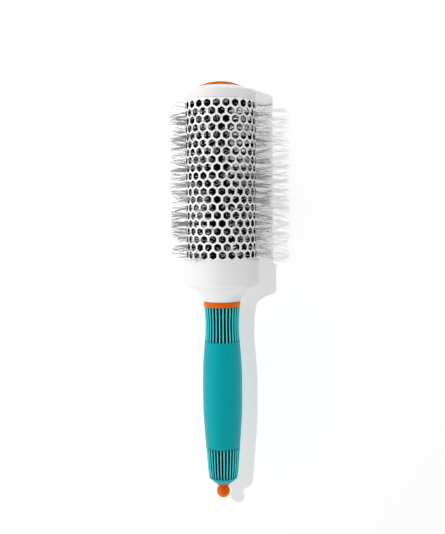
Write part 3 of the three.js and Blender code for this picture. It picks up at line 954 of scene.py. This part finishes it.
@dataclass
class Bristles:
    """Nylon filaments that spread from the wire and stand out through the vents of the barrel.

    The pairs bundle_lean, own_lean, curl, vent_reach and root_scatter hold a spread across the brush
    and one along it. The pairs bundle_gather and root_shade_reach are the two ends of a range.
    """

    barrel: Barrel
    wire: WireStem
    pack_count: int = 4
    tip_radius: float = 33.9
    tip_scatter: float = 0.5
    tip_share: float = 0.8
    bundle_lean: Pair = (0.16, 0.12)
    bundle_gather: Pair = (-0.3, 0.8)
    own_lean: Pair = (0.16, 0.08)
    curl: Pair = (0.004, 0.006)
    vent_reach: Pair = (1.25, 1.5)
    root_scatter: Pair = (0.6, 0.9)
    floor_gap: float = 0.15
    least_fall: float = 0.2
    lowest: float = 0.05
    filament_radius: float = 0.18
    filaments_per_vent: float = 3.1
    end_row_share: float = 0.35
    evenness: float = 12.0
    # Where the filaments' painted root shade is full and where it ends, as distances from the axis.
    root_shade_reach: Pair = (22.9, 24.6)
    side_count: int = 3
    seed: int = 7
    rings: tuple[float, ...] = (5.0, 13.0, 22.9, 24.6, 26.8, 29.0, 31.4)
    root_radius: float = 5.9
    root_bore: float = 2.2
    root_sides: int = 48
    root_step: float = 0.6
    twist_ridge: float = 0.45
    tuft_ridge: float = 0.18
    tuft_count: int = 9
    tuft_drift: float = 2.2
    generator: np.random.Generator = field(init=False)

    def __post_init__(self) -> None:
        """Starts the seeded draws."""
        self.generator = np.random.default_rng(self.seed)

    def filament(self, angle: float, station: float, lean: np.ndarray, gather: float) -> np.ndarray:
        """Draws one filament.

        Args:
            angle: the angle of its vent.
            station: the station of its vent.
            lean: how its bundle leans across and along, in millimetres for each millimetre out.
            gather: how far its bundle comes together at its tips, from 1 for one point down to 0,
                and below 0 where it spreads.

        Returns:
            Its rings of points, thinning to its tip.
        """
        draw = self.generator
        tip = self.tip_radius - abs(draw.normal(0, self.tip_scatter))
        own = lean + draw.normal(0, self.own_lean)
        curl = draw.normal(0, self.curl)
        in_vent = draw.uniform(-1, 1, 2) * self.vent_reach
        root = draw.normal(0, self.root_scatter)
        fall = -math.cos(angle)
        if fall > 0:
            tip = min(tip, (AXIS_HEIGHT - self.floor_gap) / max(fall, self.least_fall))
        radii = np.array((*self.rings, tip))
        vent = self.barrel.radius
        own -= in_vent * gather / (self.tip_radius - vent)
        inner = np.clip((radii - radii[0]) / (vent - radii[0]), 0, 1)[:, None]
        outer = np.clip(radii - vent, 0, None)[:, None]
        offset = root * (1 - inner) + in_vent * inner + own * outer + curl * outer**2
        turn = np.arange(self.side_count) * FULL_TURN / self.side_count + draw.uniform(0, FULL_TURN)
        thick = np.full((len(radii), 1), self.filament_radius)
        thick[-1] *= self.tip_share
        reach, radii = np.minimum(radii, self.tip_radius)[:, None], radii[:, None]
        side_angle = angle + offset[:, :1] / radii + thick * np.cos(turn) / radii
        return spots(reach, side_angle, station + offset[:, 1:] + thick * np.sin(turn))

    def filaments(self, first_row: int, last_row: int) -> np.ndarray:
        """Draws the filaments of some rows of vents.

        Args:
            first_row: the first row, counted from the head.
            last_row: the row after the last.

        Returns:
            The points of each filament's rings.
        """
        tubes = []
        for row in range(first_row, last_row):
            for column in range(self.barrel.column_count):
                angle = self.barrel.vent_angle(row, column)
                angle = (angle + math.pi) % FULL_TURN - math.pi
                lean = self.generator.normal(0, self.bundle_lean)
                gather = self.generator.uniform(*self.bundle_gather)
                for _ in range(self.filament_count(row)):
                    tubes.append(self.filament(angle, self.barrel.row_station(row), lean, gather))
        points = np.array(tubes)
        points[..., 2] = np.maximum(points[..., 2], self.lowest * MM)
        return points

    def filament_count(self, row: int) -> int:
        """Draws how many filaments stand in a vent, fewer in the first row.

        Args:
            row: the vent's row, counted from the head.

        Returns:
            The count.
        """
        share = self.end_row_share if row == 0 else 1
        crowd = self.generator.gamma(self.evenness) / self.evenness
        return int(self.generator.poisson(self.filaments_per_vent * share * crowd))

    def filament_faces(self, filament_count: int, ring_count: int) -> list[list[int]]:
        """Lists the faces of a pack: the filaments' sides and then their tips.

        Args:
            filament_count: how many filaments it has.
            ring_count: how many rings of points a filament has.

        Returns:
            The faces, as lists of indices.
        """
        tube_points = ring_count * self.side_count
        starts = (np.arange(filament_count) * tube_points)[:, None, None]
        sides = starts + grid_faces(ring_count, self.side_count, loop=False)
        tips = starts + np.arange(tube_points - self.side_count, tube_points)
        return sides.reshape(-1, 4).tolist() + tips.reshape(-1, self.side_count).tolist()

    def root_shade_mask(self, points: np.ndarray) -> np.ndarray:
        """Tells how much painted shade points get, from how far they are inside the barrel.

        Args:
            points: the points, in metres.

        Returns:
            For each point a value from 0 outside to 1 inside.
        """
        inside, outside = self.root_shade_reach
        distance = np.hypot(points[..., 0], points[..., 2] - AXIS_HEIGHT * MM) / MM
        return np.clip((outside - distance) / (outside - inside), 0, 1)

    def root_bundle(self, top: float, bottom: float) -> np.ndarray:
        """Draws a slice of the dense roots round the wire, ridged by the wire's twist.

        Args:
            top: the station of its upper end.
            bottom: the station of its lower end.

        Returns:
            Its rings of points.
        """
        side = (np.arange(self.root_sides) * FULL_TURN / self.root_sides)[None, :]
        station = np.arange(bottom, top, self.root_step)[:, None]
        twist = side - station * FULL_TURN / self.wire.twist_pitch
        tufts = np.sin(self.tuft_count * side + self.tuft_drift * station)
        radius = self.root_radius + self.twist_ridge * np.cos(2 * twist) + self.tuft_ridge * tufts
        bore = spots(self.root_bore, side, station[[-1, 0]])
        return np.concatenate((spots(radius, side, station), bore))

    def build(self) -> None:
        """Builds the packs, each a mesh of filaments with a root bundle."""
        rows = self.barrel.row_count // self.pack_count
        for pack in range(self.pack_count):
            points = self.filaments(pack * rows, (pack + 1) * rows)
            node = f"bristle_pack_{pack + 1}"
            mesh = bpy.data.meshes.new(f"bristle_filaments_{pack + 1}")
            faces = self.filament_faces(*points.shape[:2])
            mesh.from_pydata(points.reshape(-1, 3).tolist(), [], faces)
            mesh.shade_smooth()
            # Keeps the painted shade of the filaments inside the barrel.
            keep_values(mesh, ROOT_SHADE_MASK, self.root_shade_mask(points))
            settle(put(mesh.name, mesh), Body.BRUSH, Slot.NYLON, NYLON, node)
            low, high = (corner.y / MM - STATION_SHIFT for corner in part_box(node))
            roots = self.root_bundle(high, low)
            quads = grid_faces(*roots.shape[:2], loop=True)
            bundle = make_piece(f"bristle_roots_{pack + 1}", roots, quads, crease=60)
            settle(bundle, Body.BRUSH, Slot.NYLON, SHADED_ROOTS)


@dataclass
class TipEnd:
    """The head's end: a white cap over the barrel and an orange domed disc in it."""

    cap_radius: float = 23.4
    sleeve_radius: float = 22.98
    lip: float = 51.65
    plate: float = 55.8
    rim: float = 60.5
    shoulder: float = 57.46
    wire_hole: float = 2.4
    boss_radius: float = 5.0
    boss_end: float = 50.8
    seat: float = 58.7
    seat_gap: float = 0.12
    disc_radius: float = 16.0
    disc_bottom: float = 59.0
    hollow_radius: float = 8.0
    hollow_top: float = 61.6
    crown: float = 4.0
    crown_start: float = 0.012
    crown_rings: int = 28

    def cap(self) -> bpy.types.Object:
        """Builds the cap with its boss round the wire.

        Returns:
            The cap.
        """
        seat_radius = self.disc_radius + self.seat_gap
        corners = [
            Corner(self.wire_hole, self.boss_end),
            Corner(self.boss_radius, self.boss_end, rounding=0.3),
            Corner(self.boss_radius, self.plate, rounding=0.8),
            Corner(self.sleeve_radius, self.plate, rounding=0.3),
            Corner(self.sleeve_radius, self.lip, rounding=0.06),
            Corner(self.cap_radius, self.lip, rounding=0.06),
            Corner(self.cap_radius, self.shoulder, rounding=1.2),
            Corner(seat_radius, self.rim, rounding=0.22),
            Corner(seat_radius, self.seat),
            Corner(self.wire_hole, self.seat),
        ]
        return turned("tip_cap_shell", rounded(corners))

    def disc(self) -> bpy.types.Object:
        """Builds the domed disc.

        Returns:
            The disc.
        """
        sphere = (self.disc_radius**2 + self.crown**2) / (2 * self.crown)
        centre = self.rim + self.crown - sphere
        lowest = math.asin((self.rim - centre) / sphere) + self.crown_start
        dome = [
            (sphere * math.cos(angle), centre + sphere * math.sin(angle))
            for angle in np.linspace(lowest, math.pi / 2, self.crown_rings)
        ]
        dome[-1] = (0.0, self.rim + self.crown)
        corners = [
            Corner(self.hollow_radius, self.disc_bottom),
            Corner(self.disc_radius, self.disc_bottom, rounding=0.25),
            Corner(self.disc_radius, self.rim, rounding=0.3),
            Corner(*dome[0]),
        ]
        hollow = [(0.0, self.hollow_top), (self.hollow_radius, self.hollow_top)]
        edge = rounded(corners, closed=False)
        return turned("tip_domed_disc", hollow + edge[:-1] + dome, closed=False)

    def build(self) -> None:
        """Builds the cap and the disc, and dresses the clip under them."""
        settle(self.cap(), Body.BRUSH, Slot.WHITE, WHITE_PLASTIC, "tip_cap")
        settle(self.disc(), Body.BRUSH, Slot.ORANGE, ORANGE_DISC_PLASTIC, "tip_disc")
        carry_over("wire_clip", WIRE_STEEL)


@dataclass
class Shoulder:
    """The white collar and flared neck below the barrel, with the hub and the orange ring.

    The flare's pairs hold a station and a radius, and those of neck_rim a radius and how far it is
    below the neck's top.
    """

    collar_radius: float = 25.1
    collar_top: float = COLLAR_TOP
    collar_bottom: float = -69.5
    floor_top: float = -67.5
    ledge: float = -56.9
    socket: float = 23.45
    cavity: float = 22.1
    bore: float = 8.3
    ring_radius: float = 12.3
    ring_top: float = -79.45
    ring_bottom: float = -82.85
    neck_top: float = -69.6
    neck_bottom: float = -79.15
    neck_foot: float = 2.6
    neck_rim: tuple[Pair, ...] = ((21.3, 0.12), (21.2, 0.0), (19.3, 0.0))
    flare_rings: int = 34
    flare: tuple[Pair, ...] = (
        (-79.15, 12.3), (-77.8, 12.75), (-76.4, 13.6), (-75.0, 14.65),
        (-73.6, 16.2), (-72.2, 18.05), (-70.9, 20.0), (-69.95, 21.15),
    )

    def collar(self) -> bpy.types.Object:
        """Builds the collar, a cup that holds the barrel's end.

        Returns:
            The collar.
        """
        corners = [
            Corner(self.bore, self.collar_bottom),
            Corner(self.collar_radius, self.collar_bottom, rounding=2.7),
            Corner(self.collar_radius, self.collar_top, rounding=0.55),
            Corner(self.socket, self.collar_top, rounding=0.25),
            Corner(self.socket, self.ledge),
            Corner(self.cavity, self.ledge),
            Corner(self.cavity, self.floor_top, rounding=0.6),
            Corner(self.bore, self.floor_top),
        ]
        return turned("collar_cup", rounded(corners, steps=9))

    def neck(self) -> bpy.types.Object:
        """Builds the neck, which flares from the ring to the collar.

        Returns:
            The neck.
        """
        stations = np.linspace(self.flare[0][0], self.flare[-1][0], self.flare_rings)
        outside = list(zip(smooth_curve(self.flare, stations).tolist(), stations.tolist()))
        rim = [(radius, self.neck_top - below) for radius, below in self.neck_rim]
        inside = [(self.bore, self.neck_bottom + self.neck_foot), (self.bore, self.neck_bottom)]
        return turned("neck_flare", outside + rim + inside)

    def ring(self) -> bpy.types.Object:
        """Builds the orange ring.

        Returns:
            The ring.
        """
        corners = [
            Corner(self.bore, self.ring_bottom),
            Corner(self.ring_radius, self.ring_bottom, rounding=0.5),
            Corner(self.ring_radius, self.ring_top, rounding=0.5),
            Corner(self.bore, self.ring_top),
        ]
        return turned("accent_ring_band", rounded(corners))

    def build(self) -> None:
        """Builds the collar, the neck and the ring, and dresses the hub."""
        settle(self.collar(), Body.BRUSH, Slot.WHITE, WHITE_PLASTIC, "collar")
        settle(self.neck(), Body.BRUSH, Slot.WHITE, WHITE_PLASTIC, "neck")
        settle(self.ring(), Body.BRUSH, Slot.ORANGE, ORANGE_PLASTIC, "accent_ring")
        carry_over("barrel_hub", BLACK_PLASTIC)


@dataclass(frozen=True)
class GrooveSet:
    """A set of lengthwise grooves: the stations of their upper and lower ends."""

    top: float
    bottom: float


@dataclass
class Grip:
    """The soft grip, moulded over the handle's core, with two sets of lengthwise grooves.

    The pairs of the outline and the bore hold a station and a radius, from the foot up. The places
    in place_shares are shares of the pitch of the grooves, from the middle of a groove.
    """

    outline: tuple[Pair, ...] = (
        (-202.05, 5.9), (-201.7, 6.35), (-201.0, 7.15), (-200.2, 8.0), (-199.4, 8.75),
        (-198.7, 9.35), (-198.1, 9.65), (-197.0, 9.85), (-195.0, 10.12), (-191.0, 10.47),
        (-186.0, 10.84), (-178.0, 11.4), (-170.0, 12.0), (-165.0, 12.38), (-160.0, 12.7),
        (-155.0, 12.97), (-146.0, 13.17), (-136.0, 13.2), (-127.0, 13.08), (-120.0, 12.78),
        (-113.5, 12.35), (-106.5, 11.78), (-100.0, 11.38), (-95.0, 11.25), (-89.5, 11.42),
        (-83.15, 11.9),
    )
    bore: tuple[Pair, ...] = (
        (-202.05, 5.7), (-198.45, 5.7), (-198.45, 8.2), (-134.85, 11.5), (-83.15, 9.3),
    )
    groove_sets: tuple[GrooveSet, ...] = (GrooveSet(-70.0, -106.3), GrooveSet(-177.3, -198.1))
    groove_count: int = 30
    groove_share: float = 0.31
    groove_depth: float = 1.15
    crest_roundness: float = 2.4
    groove_turn: float = -2.5
    # How the ribs' painted highlight fades in at the grooves' ends, and where the grooves' painted shade
    # starts and how soon it is full.
    rib_highlight_fade: float = 1.5
    groove_shade_start: float = 0.34
    groove_shade_fade: float = 0.34
    place_shares: tuple[float, ...] = (
        -0.5, -0.45, -0.41, -0.375, -0.35, -0.33, -0.315, -0.3, -0.15,
        0.0, 0.15, 0.3, 0.315, 0.33, 0.35, 0.375, 0.41, 0.45,
    )
    ring_step: float = 1.5
    groove_end_reach: float = 1.8
    groove_end_step: float = 0.2
    foot_reach: float = 4.5
    foot_rings: int = 22

    def stations(self) -> np.ndarray:
        """Lists the stations of the grip's rings, closer together at the grooves' ends and at the foot.

        Returns:
            The stations, from the top down.
        """
        low, high = self.outline[0][0], self.outline[-1][0]
        parts = [np.arange(high, low, -self.ring_step)]
        for groove in self.groove_sets:
            for end in (groove.top, groove.bottom):
                reach = self.groove_end_reach
                parts.append(np.arange(end - reach, end + reach, self.groove_end_step))
        parts.append(np.linspace(low + self.foot_reach, low, self.foot_rings))
        found = np.unique(np.round(np.concatenate(parts), 3))
        return found[(found >= low) & (found <= high)][::-1]

    def rib_highlight_share(self, station: np.ndarray) -> np.ndarray:
        """Tells where the ribs get their painted highlight.

        Args:
            station: the stations.

        Returns:
            For each station a value from 0 on the plain part to 1 between the grooves.
        """
        share = np.zeros(station.shape)
        for groove in self.groove_sets:
            within = np.minimum(groove.top - station, station - groove.bottom)
            share = np.maximum(share, np.clip(within / self.rib_highlight_fade, 0, 1))
        return share

    def groove_cut(self, across: np.ndarray, station: np.ndarray, pitch: np.ndarray) -> np.ndarray:
        """Measures how deep the grooves are at a place, between ribs with rounded crests.

        Args:
            across: the distance from the nearest groove's middle, in millimetres.
            station: the station.
            pitch: the distance between two grooves.

        Returns:
            The share of the full depth.
        """
        cut = np.zeros(np.broadcast(across, station).shape)
        half = self.groove_share * pitch
        for groove in self.groove_sets:
            beyond = np.maximum(station - (groove.top - half), (groove.bottom + half) - station)
            distance = np.hypot(across, np.maximum(beyond, 0))
            rise = np.clip((distance - half) / (pitch / 2 - half), 0, 1)
            crest = (1 - (1 - rise) ** self.crest_roundness) ** (1 / self.crest_roundness)
            cut = np.maximum(cut, 1 - crest)
        return cut

    def build(self) -> None:
        """Builds the grip as one skin from its outside through its foot and its bore."""
        stations = self.stations()
        radius = smooth_curve(self.outline, stations)[:, None]
        turn = FULL_TURN / self.groove_count
        places = np.array(self.place_shares)
        angle = (np.arange(self.groove_count)[:, None] + places[None, :]).reshape(1, -1) * turn
        across = np.tile(places, self.groove_count)[None, :] * turn * radius
        cut = self.groove_cut(across, stations[:, None], turn * radius)
        angle = angle + math.radians(self.groove_turn)
        skin = spots(radius - cut * self.groove_depth, angle, stations[:, None])
        bore_station, bore_radius = (np.array(column)[:, None] for column in zip(*self.bore))
        rings = np.concatenate((skin, spots(bore_radius, angle, bore_station)))
        shade, ribs = np.zeros(rings.shape[:2]), np.zeros(rings.shape[:2])
        # Painted shade down in the grooves, and a painted highlight on the ribs between them.
        shade[: len(stations)] = np.clip((cut - self.groove_shade_start) / self.groove_shade_fade, 0, 1)
        ribs[: len(stations)] = self.rib_highlight_share(stations)[:, None]
        faces = grid_faces(*rings.shape[:2], loop=True)
        grip = make_piece("soft_grip", rings, faces, crease=60, values={GROOVE_SHADE_SHARE: shade, RIB_HIGHLIGHT_SHARE: ribs})
        settle(grip, Body.BRUSH, Slot.TEAL, TEAL_RUBBER, "grip")
        carry_over("handle_core", BLACK_PLASTIC)
        carry_over("wire_ferrule", BRASS)
        carry_over("friction_ring", BLACK_RUBBER)


@dataclass
class PickShaft:
    """The pick's shaft: a drawn aluminium rod with one side cut flat."""

    radius: float = 1.4
    flat_depth: float = 0.35
    flat_angle: float = 90.0
    top: float = -123.85
    bottom: float = -207.65
    chamfer: float = 0.25
    chamfer_share: float = 0.8
    side_count: int = 72

    def section(self, angle: np.ndarray, gap: float = 0.0) -> np.ndarray:
        """Gives the shaft's radius round the axis.

        Args:
            angle: angles, in radians.
            gap: how much larger the section is all round.

        Returns:
            The radius at each angle, in millimetres.
        """
        toward = np.cos(angle - math.radians(self.flat_angle))
        flat = (self.radius - self.flat_depth + gap) / np.maximum(toward, TINY)
        return np.where(toward > 0, np.minimum(self.radius + gap, flat), self.radius + gap)

    def build(self) -> None:
        """Builds the shaft with its ends chamfered."""
        angle = np.arange(self.side_count) * FULL_TURN / self.side_count
        outline = (
            (0.0, self.bottom),
            (self.chamfer_share, self.bottom),
            (1.0, self.bottom + self.chamfer),
            (1.0, self.top - self.chamfer),
            (self.chamfer_share, self.top),
            (0.0, self.top),
        )
        rings = np.array([spots(self.section(angle) * share, angle, station) for share, station in outline])
        shaft = make_piece("pick_flat_sided_shaft", rings, grid_faces(*rings.shape[:2], loop=False))
        settle(shaft, Body.PICK, Slot.SHAFT, SHAFT_METAL, "pick_shaft")


@dataclass
class PickGuide:
    """The bush in the grip's foot, with a flat-sided hole that keeps the pick from turning.

    A chamfer's pair holds how much wider it makes the hole and how deep it goes.
    """

    shaft: PickShaft
    nose_radius: float = 5.4
    body_radius: float = 6.2
    face_radius: float = 3.0
    bottom: float = -202.05
    step: float = -198.15
    top: float = -189.15
    gap: float = 0.12
    top_chamfer: Pair = (0.2, 0.25)
    mouth_chamfer: Pair = (0.35, 0.45)
    mouth_depth: float = 0.02
    face_depth: float = 0.001
    side_count: int = 96

    def build(self) -> None:
        """Builds the bush."""
        corners = [
            Corner(self.face_radius, self.bottom + self.face_depth),
            Corner(self.nose_radius, self.bottom, rounding=0.45),
            Corner(self.nose_radius, self.step),
            Corner(self.body_radius, self.step, rounding=0.2),
            Corner(self.body_radius, self.top, rounding=0.3),
            Corner(self.face_radius, self.top),
        ]
        angle = (np.arange(self.side_count) * FULL_TURN / self.side_count)[None, :]
        radius, station = (np.array(column)[:, None] for column in zip(*rounded(corners, closed=False)))
        hole = self.shaft.section(angle, self.gap)
        (wider, deeper), (mouth_wider, mouth_deeper) = self.top_chamfer, self.mouth_chamfer
        rings = np.concatenate(
            (
                spots(radius, angle, station),
                spots(hole + wider, angle, self.top),
                spots(hole, angle, self.top - deeper),
                spots(hole, angle, self.bottom + mouth_deeper),
                spots(hole + mouth_wider, angle, self.bottom + self.mouth_depth),
            )
        )
        bush = make_piece("pick_guide_bush", rings, grid_faces(*rings.shape[:2], loop=True))
        settle(bush, Body.BRUSH, Slot.BLACK, BLACK_PLASTIC, "guide_bush")


@dataclass
class PickKnob:
    """The pick's knob: a ball on a waist below a flange that closes the grip's foot."""

    top: float = -202.35
    flange_radius: float = 4.3
    flange_bottom: float = -203.85
    waist_radius: float = 2.8
    waist: float = -204.75
    waist_blend: float = 0.04
    ball_radius: float = 4.5
    ball_centre: float = -208.23
    ball_rings: int = 30
    socket_radius: float = 1.52
    socket_bottom: float = -207.95

    def build(self) -> None:
        """Builds the knob and dresses the stop at the shaft's other end."""
        waist_turn = math.acos(self.waist_radius / self.ball_radius) - self.waist_blend
        ball = [
            (self.ball_radius * math.cos(angle), self.ball_centre + self.ball_radius * math.sin(angle))
            for angle in np.linspace(-math.pi / 2, waist_turn, self.ball_rings)
        ]
        ball[0] = (0.0, self.ball_centre - self.ball_radius)
        corners = [
            Corner(*ball[-1]),
            Corner(self.waist_radius, self.waist, rounding=0.35),
            Corner(self.waist_radius, self.flange_bottom, rounding=0.3),
            Corner(self.flange_radius, self.flange_bottom, rounding=0.35),
            Corner(self.flange_radius, self.top, rounding=0.2),
            Corner(self.socket_radius, self.top, rounding=0.1),
            Corner(self.socket_radius, self.socket_bottom),
            Corner(0.0, self.socket_bottom),
        ]
        outline = ball[:-1] + rounded(corners, closed=False)
        knob = turned("pick_ball_knob", outline, closed=False, side_count=96)
        settle(knob, Body.PICK, Slot.ORANGE, ORANGE_PLASTIC, "pick_knob")
        carry_over("pick_stop", BLACK_PLASTIC)


@dataclass
class Studio:
    """The camera, the white table, the lamp and the white room round them."""

    camera_place: tuple[float, float, float] = (0.58, 49.9, 539.1)
    camera_aim: tuple[float, float, float] = (0.58, 17.4, 33.5)
    camera_roll: float = 0.00825
    camera_reach: Pair = (0.01, 20.0)
    focal_length: float = 51.45
    lamp_place: tuple[float, float, float] = (-153.5, 99.0, 539.0)
    lamp_power: float = 4.9
    lamp_radius: float = 2.5
    left_wall: float = 1.0
    left_wall_edge: float = -0.4
    horizon_glow: float = 2.1
    horizon_height: float = 0.45
    end_wall_glow: float = 1.38
    end_wall_edge: float = 0.35
    floor_reach: float = 3000.0
    floor_drop: float = 0.02
    floor_roughness: float = 0.9
    floor_patch: float = 60.0
    floor_patch_shades: Pair = (0.86, 0.87)
    floor_shade: float = 0.92
    floor_glow: float = 0.262

    def camera(self) -> None:
        """Makes the camera and lets the scene use it."""
        data = bpy.data.cameras.new("photo_camera")
        data.sensor_fit = "AUTO"
        data.lens = self.focal_length
        data.dof.use_dof = False
        data.clip_start, data.clip_end = self.camera_reach
        camera = put("photo_camera", data)
        place, aim = Vector(self.camera_place), Vector(self.camera_aim)
        back = (place - aim).normalized()
        right = Vector((0, 1, 0)).cross(back).normalized()
        up = back.cross(right)
        turn = Matrix.Rotation(-self.camera_roll, 3, back)
        axes = Matrix((turn @ right, turn @ up, back)).transposed().to_4x4()
        camera.matrix_world = Matrix.Translation(place * MM) @ axes
        bpy.context.scene.camera = camera

    def floor(self) -> None:
        """Makes the floor, white to the camera and with the brush's shadow on it."""
        mesh = bpy.data.meshes.new("studio_floor")
        reach = self.floor_reach * MM
        corners = [(-reach, -reach, 0), (reach, -reach, 0), (reach, reach, 0), (-reach, reach, 0)]
        mesh.from_pydata(corners, [], [(0, 1, 2, 3)])
        mesh.materials.append(self.table_top())
        floor = put("studio_floor", mesh)
        floor.location.z = -self.floor_drop * MM

    def table_top(self) -> bpy.types.Material:
        """Makes the floor's material, which lights the brush as paper does and looks brighter itself.

        Returns:
            The material.
        """
        graph = Graph("white_table")
        graph.fix({"Roughness": self.floor_roughness, "Specular IOR Level": 0.0})
        first, second = ((shade,) * 3 for shade in self.floor_patch_shades)
        graph.vary("Base Color", graph.tint(graph.noise(self.floor_patch, detail=3), first, second))
        paper, glow, total = (graph.add(kind) for kind in ("BsdfDiffuse", "Emission", "AddShader"))
        paper.inputs["Color"].default_value = (*(self.floor_shade,) * 3, 1)
        glow.inputs["Strength"].default_value = self.floor_glow
        graph.join(paper.outputs["BSDF"], total.inputs[0])
        graph.join(glow.outputs["Emission"], total.inputs[1])
        surface = graph.choose(graph.seen_directly(), graph.shader.outputs["BSDF"], total.outputs["Shader"])
        graph.join(surface, graph.tree.nodes["Material Output"].inputs["Surface"])
        return graph.material

    def world(self) -> None:
        """Makes the white room, whose light comes from its left wall, its horizon and both its ends."""
        world = bpy.data.worlds.new("white_room")
        bpy.context.scene.world = world
        world.use_nodes = True
        nodes = Nodes(world.node_tree)
        nodes.tree.nodes.clear()
        parts = nodes.add("SeparateXYZ")
        nodes.join(nodes.add("TexCoord").outputs["Generated"], parts.inputs["Vector"])
        along = nodes.add("Math", operation="ABSOLUTE")
        nodes.join(parts.outputs["Y"], along.inputs[0])
        left = nodes.ramp(parts.outputs["X"], (0.0, self.left_wall), self.left_wall_edge, -1.0)
        horizon = nodes.ramp(parts.outputs["Z"], (0.0, self.horizon_glow), self.horizon_height, 0.0)
        ends = nodes.ramp(along.outputs["Value"], (0.0, self.end_wall_glow), self.end_wall_edge, 1.0)
        room, white = nodes.add("Background"), nodes.add("Background")
        for backdrop in (room, white):
            backdrop.inputs["Color"].default_value = (1, 1, 1, 1)
        light = nodes.combine("ADD", nodes.combine("ADD", left, horizon), ends)
        nodes.join(light, room.inputs["Strength"])
        seen = nodes.choose(nodes.seen_directly(), room.outputs["Background"], white.outputs["Background"])
        nodes.join(seen, nodes.add("OutputWorld").inputs["Surface"])

    def lamp(self) -> None:
        """Hangs the lamp, a small bulb that shines all round and doesn't show in gloss."""
        bulb = bpy.data.lights.new("key_lamp", "POINT")
        bulb.energy = self.lamp_power
        bulb.shadow_soft_size = self.lamp_radius * MM
        lamp = put("key_lamp", bulb)
        lamp.location = Vector(self.lamp_place) * MM
        lamp.visible_glossy = False

    def build(self) -> None:
        """Makes the floor, the lamp and the room, and shows colours as they are."""
        self.floor()
        self.lamp()
        self.world()
        bpy.context.scene.view_settings.view_transform = "Standard"


def main() -> None:
    """Makes the camera, builds the brush from its head to its pick, and lights it."""
    logging.basicConfig(level=logging.INFO, format="%(name)s: %(message)s")
    studio = Studio()
    studio.camera()
    barrel, wire, shaft = Barrel(), WireStem(), PickShaft()
    for sub_assembly in (
        barrel,
        wire,
        Bristles(barrel, wire),
        TipEnd(),
        Shoulder(),
        Grip(),
        PickGuide(shaft),
        shaft,
        PickKnob(),
        studio,
    ):
        sub_assembly.build()


if __name__ == "__main__":
    main()
